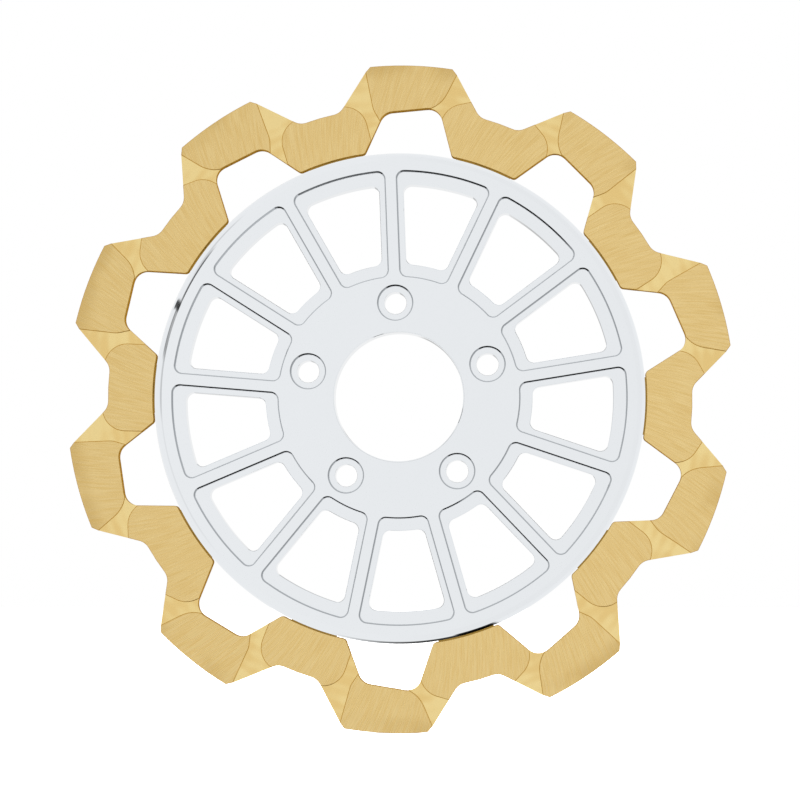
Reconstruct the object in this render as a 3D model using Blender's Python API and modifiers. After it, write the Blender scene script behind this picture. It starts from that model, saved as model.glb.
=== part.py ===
"""Two-piece motorcycle brake disc rotor: a chromed 13-spoke carrier and a scalloped ring that floats on it.

Everything is laid out flat first, in millimetres: X to the right, Y up, Z towards the outer (front) side,
with the rear mounting face of the hub at Z = 0. One parent empty then stands the disc up, so that in the
world the disc axis is the Y axis, the front faces -Y, and the origin is on the axis, halfway through the
carrier.
"""

import math

import bmesh
import bpy

MM = 0.001

# Driving sizes, in millimetres.
DISC_RADIUS = 146.05
RING_THICKNESS = 5.1
CARRIER_THICKNESS = 11.0
CARRIER_PROUD = 1.2
HUB_PAD_HEIGHT = 1.5
RIM_RADIUS = 107.6
BORE_RADIUS = 28.2
BOLT_CIRCLE_RADIUS = 41.275
FIT_GAP = 0.3

# Counts and clocking, in degrees counter-clockwise from +X as seen from the front.
SPOKES = 13
BOLTS = 5
LOBES = 10
FIRST_BOLT_DEG = 92.1
FIRST_LOBE_DEG = 15.8
SPOKE_PITCH_DEG = 360 / SPOKES
LOBE_PITCH_DEG = 360 / LOBES

# Heights above the mounting face.
CARRIER_REAR = HUB_PAD_HEIGHT
RING_FRONT = CARRIER_THICKNESS - CARRIER_PROUD
RING_REAR = RING_FRONT - RING_THICKNESS
OVERRUN = 2.0

# Brake ring.
LAND_STEP = 0.5
VALLEY_RADIUS = 127.7
VALLEY_FILLET = 6.8
LOBE_TOP_HALF_WIDTH = 18.1
LOBE_SHOULDER = (20.15, 142.4)
VALLEY_CORNER = (30.75, 123.95)
FOOT_RADIUS = 107.9
FOOT_CORNER_FILLET = 2.0
CUTOUT_FILLET = 6.35
# Corners of the opening under a lobe, from the narrow-tab foot to the wide-tab foot.
NARROW_FOOT_CORNER = (-19.05, 106.2)
CUTOUT_LOW_CORNER = (-11.35, 124.9)
CUTOUT_HIGH_CORNER = (12.74, 127.98)
WIDE_FOOT_CORNER = (19.19, 106.2)
# Recessed bridges: corners of each area between a lobe land and a foot land, with the round at each corner.
# They run past the ring on both sides.
NARROW_SIDE_BRIDGE = (
    (-20.6, 145.4, 0.0),
    (-15.95, 126.2, 7.7),
    (-11.5, 119.05, 0.0),
    (-15.8, 109.5, 0.0),
    (-21.0, 126.45, 10.0),
    (-31.0, 126.75, 0.0),
    (-33.0, 133.0, 0.0),
)
WIDE_SIDE_BRIDGE = (
    (21.24, 145.2, 0.0),
    (27.0, 140.0, 0.0),
    (29.9, 131.2, 0.0),
    (17.5, 128.23, 10.0),
    (13.1, 120.6, 0.0),
    (5.8, 126.24, 0.0),
    (13.58, 129.09, 13.0),
)

# Tabs behind the rim.
TAB_THICKNESS = 2.2
TAB_NOSE_RADIUS = 95.6
TAB_STEP_OVERLAP = 0.1
NARROW_TAB_WIDTH = 21.0
WIDE_TAB_WIDTH = 25.0
TAB_NOSE_FILLET = 3.0
TAB_HOLE_RADIUS = 4.3
FASTENER_CIRCLE_RADIUS = 101.8

# Carrier.
SPOKE_LAND_HALF_WIDTH = 2.21
SPOKE_WEB_HALF_WIDTH = 5.27
POCKET_DEPTH = 2.2
POCKET_OUTER_RADIUS = 99.7
POCKET_INNER_RADIUS = 52.5
POCKET_CORNER = 3.7
WINDOW_OUTER_RADIUS = 93.55
WINDOW_INNER_RADIUS = 58.3
WINDOW_CORNER = 3.5
FLOOR_FILLET = 0.5
RIM_EDGE_WIDTH = 3.7
RIM_EDGE_CREASE_DEG = 18.0
HUB_PAD_RADIUS = 53.0
EDGE_CHAMFER = 0.6
BOLT_HOLE_RADIUS = 4.9
BOLT_SEAT_RADIUS = 8.0
NOTCH_GAP = 0.5
NOTCH_FLOOR = RING_REAR + TAB_THICKNESS + FIT_GAP

# Fasteners, all from the rear.
SCREW_RADIUS = 2.0
SCREW_HOLE_RADIUS = 2.2
SCREW_TIP = CARRIER_THICKNESS - 1.2
SCREW_TIP_GAP = 0.2
SCREW_HEAD_RADIUS = 4.0
SCREW_HEAD_HEIGHT = 2.2
SCREW_SOCKET_RADIUS = 1.5
SCREW_SOCKET_DEPTH = 1.3
SCREW_SOCKET_SIDES = 6
CROWN_SHARE = 0.75
CROWN_DEGREES = (0, 35, 65)
BUSH_RADIUS = 4.0
BUSH_BORE_RADIUS = 2.3
BUSH_FLANGE_RADIUS = 6.2
BUSH_FLANGE_THICKNESS = 1.0
BUSH_FLANGE_TOP = RING_REAR - 0.95
WASHER_OUTER_RADIUS = 6.0
WASHER_INNER_RADIUS = 4.3
WASHER_THICKNESS = 0.25
WASHER_WAVE = 0.1
WASHER_WAVES = 3

# Facets.
RIM_STEPS = 104
ARC_STEP_DEG = 20.0
OUTER_ARC_STEP_DEG = 2.25
LONG_ARC_STEP_DEG = 4.5
HUB_ARC_STEP_DEG = 6.75
HOLE_STEPS = 20
FASTENER_STEPS = 16
WASHER_STEPS = 18
SHARP_DEG = 30.0
WELD = 1e-7
REPEAT_GAP = 0.001


def clear_scene():
    for obj in list(bpy.data.objects):
        bpy.data.objects.remove(obj, do_unlink=True)


def make_collection(name, hidden):
    collection = bpy.data.collections.new(name)
    bpy.context.scene.collection.children.link(collection)
    collection.hide_render = hidden
    return collection


def make_material(name, colour, metallic, roughness):
    material = bpy.data.materials.new(name)
    material.use_nodes = True
    shader = material.node_tree.nodes["Principled BSDF"]
    shader.inputs["Base Color"].default_value = (*colour, 1.0)
    shader.inputs["Metallic"].default_value = metallic
    shader.inputs["Roughness"].default_value = roughness
    material.diffuse_color = (*colour, 1.0)
    return material


def chrome():
    return make_material("chrome", (0.83, 0.84, 0.86), 1.0, 0.06)


def gold_steel():
    return make_material("gold_steel", (0.72, 0.52, 0.22), 1.0, 0.34)


def zinc_steel():
    return make_material("zinc_steel", (0.62, 0.62, 0.60), 1.0, 0.30)


def black_steel():
    return make_material("black_steel", (0.05, 0.05, 0.055), 0.6, 0.40)


def polar(radius, degrees):
    angle = math.radians(degrees)
    return (radius * math.cos(angle), radius * math.sin(angle))


def arc(centre, radius, start_deg, end_deg, step_deg):
    """Points of an arc, both ends included."""
    steps = max(1, math.ceil(abs(end_deg - start_deg) / step_deg))
    points = []
    for i in range(steps + 1):
        x, y = polar(radius, start_deg + (end_deg - start_deg) * i / steps)
        points.append((centre[0] + x, centre[1] + y))
    return points


def rounded(corners):
    """A closed outline whose corners (x, y, radius) are replaced by arcs of that radius."""
    points = []
    for i, (x, y, radius) in enumerate(corners):
        if radius == 0:
            points.append((x, y))
            continue
        before = corners[i - 1]
        after = corners[(i + 1) % len(corners)]
        in_deg = math.degrees(math.atan2(y - before[1], x - before[0]))
        out_deg = math.degrees(math.atan2(after[1] - y, after[0] - x))
        turn = (out_deg - in_deg + 180) % 360 - 180
        side = math.copysign(90, turn)
        reach = radius * math.tan(math.radians(abs(turn) / 2))
        back_x, back_y = polar(reach, in_deg)
        up_x, up_y = polar(radius, in_deg + side)
        centre = (x - back_x + up_x, y - back_y + up_y)
        points += arc(centre, radius, in_deg - side, in_deg - side + turn, ARC_STEP_DEG)
    return points


def turned(points, degrees):
    cosine, sine = polar(1, degrees)
    return [(x * cosine - y * sine, x * sine + y * cosine) for x, y in points]


def circle(centre, radius, steps):
    return arc(centre, radius, 0, 360, 360 / steps)[:-1]


def add_object(name, mesh, collection, material=None):
    obj = bpy.data.objects.new(name, mesh)
    if material:
        mesh.materials.clear()
        mesh.materials.append(material)
    collection.objects.link(obj)
    return obj


def plate(name, outlines, low, high, collection):
    """A flat plate between two heights, from closed outlines. An outline inside another one is a hole."""
    curve = bpy.data.curves.new(name, "CURVE")
    curve.dimensions = "2D"
    curve.fill_mode = "BOTH"
    curve.extrude = (high - low) / 2 * MM
    for outline in outlines:
        spline = curve.splines.new("POLY")
        spline.points.add(len(outline) - 1)
        for point, (x, y) in zip(spline.points, outline):
            point.co = (x * MM, y * MM, 0, 1)
        spline.use_cyclic_u = True
    guide = add_object(name, curve, collection)
    return as_clean_mesh(guide, (high + low) / 2 * MM)


def as_clean_mesh(guide, lift):
    """Replaces a curve or a modifier stack by its mesh: points welded, faces outward, raised by lift."""
    graph = bpy.context.evaluated_depsgraph_get()
    mesh = bpy.data.meshes.new_from_object(guide.evaluated_get(graph))
    name = guide.name
    collection = guide.users_collection[0]
    bpy.data.objects.remove(guide, do_unlink=True)
    shape = bmesh.new()
    shape.from_mesh(mesh)
    bmesh.ops.remove_doubles(shape, verts=shape.verts, dist=WELD)
    bmesh.ops.translate(shape, verts=shape.verts, vec=(0, 0, lift))
    bmesh.ops.recalc_face_normals(shape, faces=shape.faces)
    shape.to_mesh(mesh)
    shape.free()
    return add_object(name, mesh, collection)


def lathe(name, profile, steps, collection):
    """A solid of revolution about Z from a closed profile of (radius, height) points."""
    mesh = bpy.data.meshes.new(name)
    points = [(radius * MM, 0, height * MM) for radius, height in profile]
    last = len(points) - 1
    edges = [(i, i + 1) for i in range(last)] + [(last, 0)]
    mesh.from_pydata(points, edges, [])
    obj = add_object(name, mesh, collection)
    screw = obj.modifiers.new("turn", "SCREW")
    screw.steps = steps
    screw.render_steps = steps
    screw.use_merge_vertices = True
    screw.merge_threshold = WELD
    return as_clean_mesh(obj, 0)


def apply_modifiers(obj):
    """Turns the object's modifiers into mesh, so that copies of it can be joined or cut."""
    graph = bpy.context.evaluated_depsgraph_get()
    mesh = bpy.data.meshes.new_from_object(obj.evaluated_get(graph))
    obj.modifiers.clear()
    obj.data = mesh


def merged(name, objects, collection):
    """One mesh holding several separate shapes, so that a single Boolean can use them all."""
    shape = bmesh.new()
    for obj in objects:
        shape.from_mesh(obj.data)
        bpy.data.objects.remove(obj, do_unlink=True)
    bmesh.ops.recalc_face_normals(shape, faces=shape.faces)
    mesh = bpy.data.meshes.new(name)
    shape.to_mesh(mesh)
    shape.free()
    return add_object(name, mesh, collection)


def boolean(obj, other, operation):
    modifier = obj.modifiers.new(other.name, "BOOLEAN")
    modifier.object = other
    modifier.operation = operation
    modifier.solver = "EXACT"


def smooth(obj):
    """Smooth shading, with the edges between flat and round faces kept sharp."""
    apply_modifiers(obj)
    obj.data.shade_smooth()
    obj.data.set_sharp_from_angle(angle=math.radians(SHARP_DEG))


# Brake ring.


def lobe_deg(lobe):
    return FIRST_LOBE_DEG + lobe * LOBE_PITCH_DEG


def on_lobe(points, lobe):
    """Points of the pattern lobe, which is drawn pointing up, moved to one of the lobes.

    Every second lobe is a mirror image, so that like feet meet."""
    if lobe % 2:
        points = [(-x, y) for x, y in reversed(points)]
    return turned(points, lobe_deg(lobe) - 90)


def sharp_corners(points):
    """Adds a zero radius to each point, for rounded()."""
    return [(x, y, 0.0) for x, y in points]


def outer_outline():
    shoulder_x, shoulder_y = LOBE_SHOULDER
    valley_x, valley_y = VALLEY_CORNER
    top_half = math.degrees(math.asin(LOBE_TOP_HALF_WIDTH / DISC_RADIUS))
    top = arc((0, 0), DISC_RADIUS, 90 - top_half, 90 + top_half, OUTER_ARC_STEP_DEG)
    side = [(shoulder_x, shoulder_y, 0.0), *sharp_corners(top), (-shoulder_x, shoulder_y, 0.0)]
    valley_foot = polar(VALLEY_RADIUS, 90 - LOBE_PITCH_DEG / 2)
    lobe = [(*valley_foot, 0.0), (valley_x, valley_y, VALLEY_FILLET), *side]
    lobe += [(-valley_x, valley_y, VALLEY_FILLET)]
    outline = []
    for number in range(LOBES):
        angle = lobe_deg(number) - 90
        corners = turned([corner[:2] for corner in lobe], angle)
        outline += [(*point, corner[2]) for point, corner in zip(corners, lobe)]
    return rounded(outline)


def tab_deg(tab):
    """Tab 0 is the one after lobe 0. Every second tab is a wide one."""
    return lobe_deg(tab) + LOBE_PITCH_DEG / 2


def tab_width(tab):
    return WIDE_TAB_WIDTH if tab % 2 else NARROW_TAB_WIDTH


def tab_corners(width):
    """Half of a tab, drawn along +X: its root corner on the foot and its nose corner."""
    half = width / 2
    return (math.sqrt(FOOT_RADIUS**2 - half**2), half), (TAB_NOSE_RADIUS, half)


def inner_outline():
    """The feet with their tabs and the openings between them, one lobe's share after another."""
    half_pitch = LOBE_PITCH_DEG / 2
    wide_root, wide_nose = turned(tab_corners(WIDE_TAB_WIDTH), 90 - half_pitch)
    narrow_tab = [(x, -y) for x, y in tab_corners(NARROW_TAB_WIDTH)]
    narrow_root, narrow_nose = turned(narrow_tab, 90 + half_pitch)
    share = (
        (*wide_nose, TAB_NOSE_FILLET),
        (*wide_root, 0.0),
        (*WIDE_FOOT_CORNER, FOOT_CORNER_FILLET),
        (*CUTOUT_HIGH_CORNER, CUTOUT_FILLET),
        (*CUTOUT_LOW_CORNER, CUTOUT_FILLET),
        (*NARROW_FOOT_CORNER, FOOT_CORNER_FILLET),
        (*narrow_root, 0.0),
        (*narrow_nose, TAB_NOSE_FILLET),
    )
    outline = []
    for lobe in range(LOBES):
        moved = on_lobe([corner[:2] for corner in share], lobe)
        fillets = [corner[2] for corner in share]
        if lobe % 2:
            fillets.reverse()
        outline += [(*point, fillet) for point, fillet in zip(moved, fillets)]
    return rounded(outline)


def make_tab_cutter(cutters):
    """Thins the tabs from the front. Its arc is a hair outside the foot's, so that the two never coincide."""
    pieces = []
    for tab in range(LOBES):
        half = tab_width(tab) / 2 + NOTCH_GAP
        radius = FOOT_RADIUS + TAB_STEP_OVERLAP
        half_deg = math.degrees(math.asin(half / radius))
        face = arc((0, 0), radius, -half_deg, half_deg, OUTER_ARC_STEP_DEG)
        inner = TAB_NOSE_RADIUS - OVERRUN
        outline = turned([(inner, -half), *face, (inner, half)], tab_deg(tab))
        step = RING_REAR + TAB_THICKNESS
        pieces.append(plate("tab_step", [outline], step, RING_FRONT + OVERRUN, cutters))
    return merged("tab_cutter", pieces, cutters)


def notch_outline(width, degrees):
    half = width / 2
    inner = TAB_NOSE_RADIUS - NOTCH_GAP
    outer = RIM_RADIUS + OVERRUN
    fillet = TAB_NOSE_FILLET + NOTCH_GAP
    corners = [(outer, -half, 0.0), (outer, half, 0.0), (inner, half, fillet), (inner, -half, fillet)]
    return turned(rounded(corners), degrees)


def make_bridge_cutters(low, high, cutters):
    bridges = []
    for lobe in range(LOBES):
        for corners in (NARROW_SIDE_BRIDGE, WIDE_SIDE_BRIDGE):
            bridges.append(plate("bridge", [on_lobe(rounded(corners), lobe)], low, high, cutters))
    return merged("bridge_cutter", bridges, cutters)


def make_ring(parts, cutters, material):
    outlines = [outer_outline(), inner_outline()]
    for tab in range(LOBES):
        centre = polar(FASTENER_CIRCLE_RADIUS, tab_deg(tab))
        outlines.append(circle(centre, TAB_HOLE_RADIUS, HOLE_STEPS))
    ring = plate("friction_ring", outlines, RING_REAR, RING_FRONT, parts)
    boolean(ring, make_tab_cutter(cutters), "DIFFERENCE")
    front = make_bridge_cutters(RING_FRONT - LAND_STEP, RING_FRONT + OVERRUN, cutters)
    boolean(ring, front, "DIFFERENCE")
    rear = make_bridge_cutters(RING_REAR - OVERRUN, RING_REAR + LAND_STEP, cutters)
    boolean(ring, rear, "DIFFERENCE")
    smooth(ring)
    ring.data.materials.clear()
    ring.data.materials.append(material)


# Carrier.


def carrier_profile():
    """The carrier's section at a spoke, from the bore outwards over the front and back along the rear."""
    crease = math.radians(RIM_EDGE_CREASE_DEG)
    edge_radius = RIM_EDGE_WIDTH / (1 - math.sin(crease))
    edge_centre = (RIM_RADIUS - edge_radius, CARRIER_THICKNESS - edge_radius * math.cos(crease))
    rim_edge = arc(edge_centre, edge_radius, 90 - RIM_EDGE_CREASE_DEG, 0, ARC_STEP_DEG)
    return [
        (BORE_RADIUS, EDGE_CHAMFER),
        (BORE_RADIUS, CARRIER_THICKNESS - EDGE_CHAMFER),
        (BORE_RADIUS + EDGE_CHAMFER, CARRIER_THICKNESS),
        *rim_edge,
        (RIM_RADIUS, CARRIER_REAR + EDGE_CHAMFER),
        (RIM_RADIUS - EDGE_CHAMFER, CARRIER_REAR),
        (HUB_PAD_RADIUS + HUB_PAD_HEIGHT, CARRIER_REAR),
        (HUB_PAD_RADIUS, 0),
        (BORE_RADIUS + EDGE_CHAMFER, 0),
    ]


def window_outline(inner, outer, spoke_half_width, corner, degrees):
    """The opening between two spokes: sides parallel to the spokes, ends that follow the hub and the rim."""
    half_pitch = SPOKE_PITCH_DEG / 2
    side_offset = spoke_half_width + corner
    outer_deg = half_pitch - math.degrees(math.asin(side_offset / (outer - corner)))
    inner_deg = half_pitch - math.degrees(math.asin(side_offset / (inner + corner)))
    side_deg = half_pitch + 90
    points = arc((0, 0), outer, -outer_deg, outer_deg, LONG_ARC_STEP_DEG)
    for start, centre_radius, centre_deg, end in (
        (outer_deg, outer - corner, outer_deg, side_deg),
        (side_deg, inner + corner, inner_deg, inner_deg + 180),
    ):
        points += arc(polar(centre_radius, centre_deg), corner, start, end, ARC_STEP_DEG)
    points += arc((0, 0), inner, inner_deg, -inner_deg, HUB_ARC_STEP_DEG)
    for start, centre_radius, centre_deg, end in (
        (180 - inner_deg, inner + corner, -inner_deg, 360 - side_deg),
        (360 - side_deg, outer - corner, -outer_deg, 360 - outer_deg),
    ):
        points += arc(polar(centre_radius, centre_deg), corner, start, end, ARC_STEP_DEG)
    return turned(without_repeats(points), degrees)


def without_repeats(points):
    kept = []
    for point in points:
        if not kept or math.dist(point, kept[-1]) > REPEAT_GAP:
            kept.append(point)
    if math.dist(kept[0], kept[-1]) < REPEAT_GAP:
        kept.pop()
    return kept


def round_floor(cutter):
    """Takes the sharp edge off the cutter's lower face, so that its pocket has a small floor fillet."""
    shape = bmesh.new()
    shape.from_mesh(cutter.data)
    floor = min(vertex.co.z for vertex in shape.verts)
    low_edges = [
        edge
        for edge in shape.edges
        if edge.calc_face_angle(0) > math.radians(SHARP_DEG)
        and all(vertex.co.z < floor + WELD for vertex in edge.verts)
    ]
    bmesh.ops.bevel(
        shape,
        geom=low_edges,
        offset=FLOOR_FILLET * MM,
        offset_type="OFFSET",
        segments=1,
        profile=0.5,
        affect="EDGES",
    )
    shape.to_mesh(cutter.data)
    shape.free()


def window_deg(window):
    return FIRST_BOLT_DEG + (window + 0.5) * SPOKE_PITCH_DEG


def bolt_deg(bolt):
    return FIRST_BOLT_DEG + bolt * 360 / BOLTS


def make_front_cutter(cutters):
    """Pockets round the windows and seats round the bolt holes, all to one depth."""
    floor = CARRIER_THICKNESS - POCKET_DEPTH
    top = CARRIER_THICKNESS + OVERRUN
    pieces = []
    for window in range(SPOKES):
        outline = window_outline(
            POCKET_INNER_RADIUS,
            POCKET_OUTER_RADIUS,
            SPOKE_LAND_HALF_WIDTH,
            POCKET_CORNER,
            window_deg(window),
        )
        pieces.append(plate("pocket", [outline], floor, top, cutters))
    for bolt in range(BOLTS):
        centre = polar(BOLT_CIRCLE_RADIUS, bolt_deg(bolt))
        seat = circle(centre, BOLT_SEAT_RADIUS, HOLE_STEPS)
        pieces.append(plate("seat", [seat], floor, top, cutters))
    for piece in pieces:
        round_floor(piece)
    return merged("pocket_cutter", pieces, cutters)


def make_through_cutter(cutters):
    """Windows and bolt holes, right through."""
    low = -OVERRUN
    high = CARRIER_THICKNESS + OVERRUN
    pieces = []
    for window in range(SPOKES):
        outline = window_outline(
            WINDOW_INNER_RADIUS,
            WINDOW_OUTER_RADIUS,
            SPOKE_WEB_HALF_WIDTH,
            WINDOW_CORNER,
            window_deg(window),
        )
        pieces.append(plate("window", [outline], low, high, cutters))
    for bolt in range(BOLTS):
        centre = polar(BOLT_CIRCLE_RADIUS, bolt_deg(bolt))
        hole = circle(centre, BOLT_HOLE_RADIUS, HOLE_STEPS)
        pieces.append(plate("bolt_hole", [hole], low, high, cutters))
    return merged("through_cutter", pieces, cutters)


def make_notch_cutter(cutters):
    """Rear notches for the tabs, open at the rim."""
    notches = []
    for tab in range(LOBES):
        outline = notch_outline(tab_width(tab) + 2 * NOTCH_GAP, tab_deg(tab))
        notches.append(plate("notch", [outline], -OVERRUN, NOTCH_FLOOR, cutters))
    return merged("notch_cutter", notches, cutters)


def make_thread_cutter(cutters):
    """Blind screw holes in the notch floors."""
    holes = []
    for tab in range(LOBES):
        centre = polar(FASTENER_CIRCLE_RADIUS, tab_deg(tab))
        outline = circle(centre, SCREW_HOLE_RADIUS, FASTENER_STEPS)
        low = NOTCH_FLOOR - OVERRUN
        holes.append(plate("thread", [outline], low, SCREW_TIP + SCREW_TIP_GAP, cutters))
    return merged("thread_cutter", holes, cutters)


def make_carrier(parts, cutters, material):
    carrier = lathe("carrier", carrier_profile(), RIM_STEPS, parts)
    for cutter in (
        make_front_cutter(cutters),
        make_through_cutter(cutters),
        make_notch_cutter(cutters),
        make_thread_cutter(cutters),
    ):
        boolean(carrier, cutter, "DIFFERENCE")
    smooth(carrier)
    carrier.data.materials.clear()
    carrier.data.materials.append(material)


# Fasteners.


def bush_profile():
    flange_bottom = BUSH_FLANGE_TOP - BUSH_FLANGE_THICKNESS
    return [
        (BUSH_BORE_RADIUS, flange_bottom),
        (BUSH_BORE_RADIUS, NOTCH_FLOOR - FIT_GAP / 2),
        (BUSH_RADIUS, NOTCH_FLOOR - FIT_GAP / 2),
        (BUSH_RADIUS, BUSH_FLANGE_TOP),
        (BUSH_FLANGE_RADIUS, BUSH_FLANGE_TOP),
        (BUSH_FLANGE_RADIUS, flange_bottom),
    ]


def screw_profile():
    """A button-head screw standing head down, from its tip on the axis to the rim of its socket."""
    head_top = BUSH_FLANGE_TOP - BUSH_FLANGE_THICKNESS - FIT_GAP / 2
    head_bottom = head_top - SCREW_HEAD_HEIGHT
    crown_height = SCREW_HEAD_HEIGHT * CROWN_SHARE
    crown = [
        (SCREW_HEAD_RADIUS * math.cos(angle), head_bottom + crown_height * (1 - math.sin(angle)))
        for angle in (math.radians(degrees) for degrees in CROWN_DEGREES)
    ]
    return [
        (0, SCREW_TIP),
        (SCREW_RADIUS, SCREW_TIP),
        (SCREW_RADIUS, head_top),
        (SCREW_HEAD_RADIUS, head_top),
        *crown,
        (0, head_bottom),
    ]


def socket_cutter(cutters):
    head_bottom = BUSH_FLANGE_TOP - BUSH_FLANGE_THICKNESS - FIT_GAP / 2 - SCREW_HEAD_HEIGHT
    outline = circle((0, 0), SCREW_SOCKET_RADIUS, SCREW_SOCKET_SIDES)
    socket_top = head_bottom + SCREW_SOCKET_DEPTH
    return plate("socket_cutter", [outline], head_bottom - OVERRUN, socket_top, cutters)


def washer_mesh():
    """A flat washer bent into shallow waves."""
    top = BUSH_FLANGE_TOP + WASHER_WAVE + FIT_GAP / 2 + WASHER_THICKNESS
    bottom = top - WASHER_THICKNESS
    shape = bmesh.new()
    rings = []
    for radius, height in (
        (WASHER_INNER_RADIUS, bottom),
        (WASHER_INNER_RADIUS, top),
        (WASHER_OUTER_RADIUS, top),
        (WASHER_OUTER_RADIUS, bottom),
    ):
        ring = []
        for step in range(WASHER_STEPS):
            turn = 360 * step / WASHER_STEPS
            lift = WASHER_WAVE * math.cos(math.radians(turn * WASHER_WAVES))
            x, y = polar(radius, turn)
            ring.append(shape.verts.new((x * MM, y * MM, (height + lift) * MM)))
        rings.append(ring)
    for near, far in zip(rings, rings[1:] + rings[:1]):
        for step in range(WASHER_STEPS):
            after = (step + 1) % WASHER_STEPS
            shape.faces.new((near[step], near[after], far[after], far[step]))
    bmesh.ops.recalc_face_normals(shape, faces=shape.faces)
    mesh = bpy.data.meshes.new("wave_washer")
    shape.to_mesh(mesh)
    shape.free()
    return mesh


def make_fasteners(parts, cutters, plated, blackened):
    bush = lathe("drive_bush", bush_profile(), FASTENER_STEPS, cutters)
    screw = lathe("tab_screw", screw_profile(), FASTENER_STEPS, cutters)
    boolean(screw, socket_cutter(cutters), "DIFFERENCE")
    washer = add_object("wave_washer", washer_mesh(), cutters)
    for pattern, material in ((bush, plated), (screw, blackened), (washer, plated)):
        smooth(pattern)
        pattern.data.materials.clear()
        pattern.data.materials.append(material)
        for tab in range(LOBES):
            copy = add_object(f"{pattern.name}_{tab + 1:02d}", pattern.data, parts)
            x, y = polar(FASTENER_CIRCLE_RADIUS, tab_deg(tab))
            copy.location = (x * MM, y * MM, 0)
            copy.rotation_euler.z = math.radians(tab_deg(tab))


def stand_up(parts):
    """Turns the flat layout about X, so that its front faces -Y and its Y becomes up."""
    axis = bpy.data.objects.new("disc_axis", None)
    parts.objects.link(axis)
    axis.rotation_euler.x = math.radians(90)
    axis.location.y = CARRIER_THICKNESS / 2 * MM
    for obj in parts.objects:
        if obj is not axis:
            obj.parent = axis


def hide_cutters(cutters):
    for obj in cutters.objects:
        obj.hide_render = True
        obj.display_type = "WIRE"


def main():
    clear_scene()
    parts = make_collection("brake_disc_rotor", hidden=False)
    cutters = make_collection("cutters", hidden=True)
    make_carrier(parts, cutters, chrome())
    make_ring(parts, cutters, gold_steel())
    make_fasteners(parts, cutters, zinc_steel(), black_steel())
    hide_cutters(cutters)
    stand_up(parts)


main()
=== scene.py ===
"""Looks for the brake disc rotor: a mirror-chromed 13-spoke carrier and a gold ring with ground lands.

The fine pieces are drawn flat, in millimetres, with the same sizes as the solids they stand for: X to the
right, Y up, Z towards the outer (front) side, and the rear mounting face at Z = 0. place() stands them up."""

import math

import bmesh
import bpy
from mathutils import Matrix, Vector

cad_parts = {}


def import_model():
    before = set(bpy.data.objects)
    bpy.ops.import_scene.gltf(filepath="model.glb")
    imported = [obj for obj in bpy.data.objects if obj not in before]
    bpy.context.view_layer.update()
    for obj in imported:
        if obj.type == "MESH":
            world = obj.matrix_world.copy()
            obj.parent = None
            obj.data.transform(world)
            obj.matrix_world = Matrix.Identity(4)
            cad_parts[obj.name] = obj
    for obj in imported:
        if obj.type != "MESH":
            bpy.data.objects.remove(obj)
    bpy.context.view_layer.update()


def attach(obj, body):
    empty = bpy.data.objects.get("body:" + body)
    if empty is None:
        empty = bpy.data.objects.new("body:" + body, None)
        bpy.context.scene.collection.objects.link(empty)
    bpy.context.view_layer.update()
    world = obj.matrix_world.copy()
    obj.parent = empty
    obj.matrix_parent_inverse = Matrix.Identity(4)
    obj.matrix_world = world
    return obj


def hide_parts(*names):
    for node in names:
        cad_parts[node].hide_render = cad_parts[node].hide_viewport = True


MM = 0.001

# Sizes of the rotor, in millimetres.
# The disc's radius is a hair under the solid's, whose facets cut across its arcs.
DISC_RADIUS = 146.03
CARRIER_THICKNESS = 11.0
HUB_PAD_HEIGHT = 1.5
RING_FRONT = 9.8
RING_REAR = 4.7
RIM_RADIUS = 107.6
BORE_RADIUS = 28.2
BOLT_CIRCLE_RADIUS = 41.275
FASTENER_CIRCLE_RADIUS = 101.8

# Counts and clocking, in degrees counter-clockwise from +X as seen from the front.
SPOKES = 13
BOLTS = 5
LOBES = 10
FIRST_BOLT_DEG = 92.1
FIRST_LOBE_DEG = 15.8
SPOKE_PITCH_DEG = 360 / SPOKES
LOBE_PITCH_DEG = 360 / LOBES

# Ring outline.
LAND_STEP = 0.5
VALLEY_RADIUS = 127.7
VALLEY_FILLET = 6.8
LOBE_TOP_HALF_WIDTH = 18.1
LOBE_SHOULDER = (20.15, 142.4)
VALLEY_CORNER = (30.75, 123.95)
FOOT_RADIUS = 107.9
FOOT_CORNER_FILLET = 2.0
CUTOUT_FILLET = 6.35
NARROW_FOOT_CORNER = (-19.05, 106.2)
CUTOUT_LOW_CORNER = (-11.35, 124.9)
CUTOUT_HIGH_CORNER = (12.74, 127.98)
WIDE_FOOT_CORNER = (19.19, 106.2)
NARROW_SIDE_BRIDGE = (
    (-20.6, 145.4, 0.0),
    (-15.95, 126.2, 7.7),
    (-11.5, 119.05, 0.0),
    (-15.8, 109.5, 0.0),
    (-21.0, 126.45, 10.0),
    (-31.0, 126.75, 0.0),
    (-33.0, 133.0, 0.0),
)
WIDE_SIDE_BRIDGE = (
    (21.24, 145.2, 0.0),
    (27.0, 140.0, 0.0),
    (29.9, 131.2, 0.0),
    (17.5, 128.23, 10.0),
    (13.1, 120.6, 0.0),
    (5.8, 126.24, 0.0),
    (13.58, 129.09, 13.0),
)
TAB_THICKNESS = 2.2
TAB_NOSE_RADIUS = 95.6
TAB_STEP_OVERLAP = 0.05
NARROW_TAB_WIDTH = 21.0
WIDE_TAB_WIDTH = 25.0
TAB_NOSE_FILLET = 3.0
TAB_HOLE_RADIUS = 4.3

# Carrier.
SPOKE_LAND_HALF_WIDTH = 2.21
SPOKE_WEB_HALF_WIDTH = 5.27
POCKET_DEPTH = 2.2
POCKET_OUTER_RADIUS = 99.7
POCKET_INNER_RADIUS = 52.5
POCKET_CORNER = 3.7
WINDOW_OUTER_RADIUS = 93.55
WINDOW_INNER_RADIUS = 58.3
WINDOW_CORNER = 3.5
RIM_EDGE_WIDTH = 3.7
RIM_EDGE_CREASE_DEG = 18.0
HUB_PAD_RADIUS = 53.0
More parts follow.
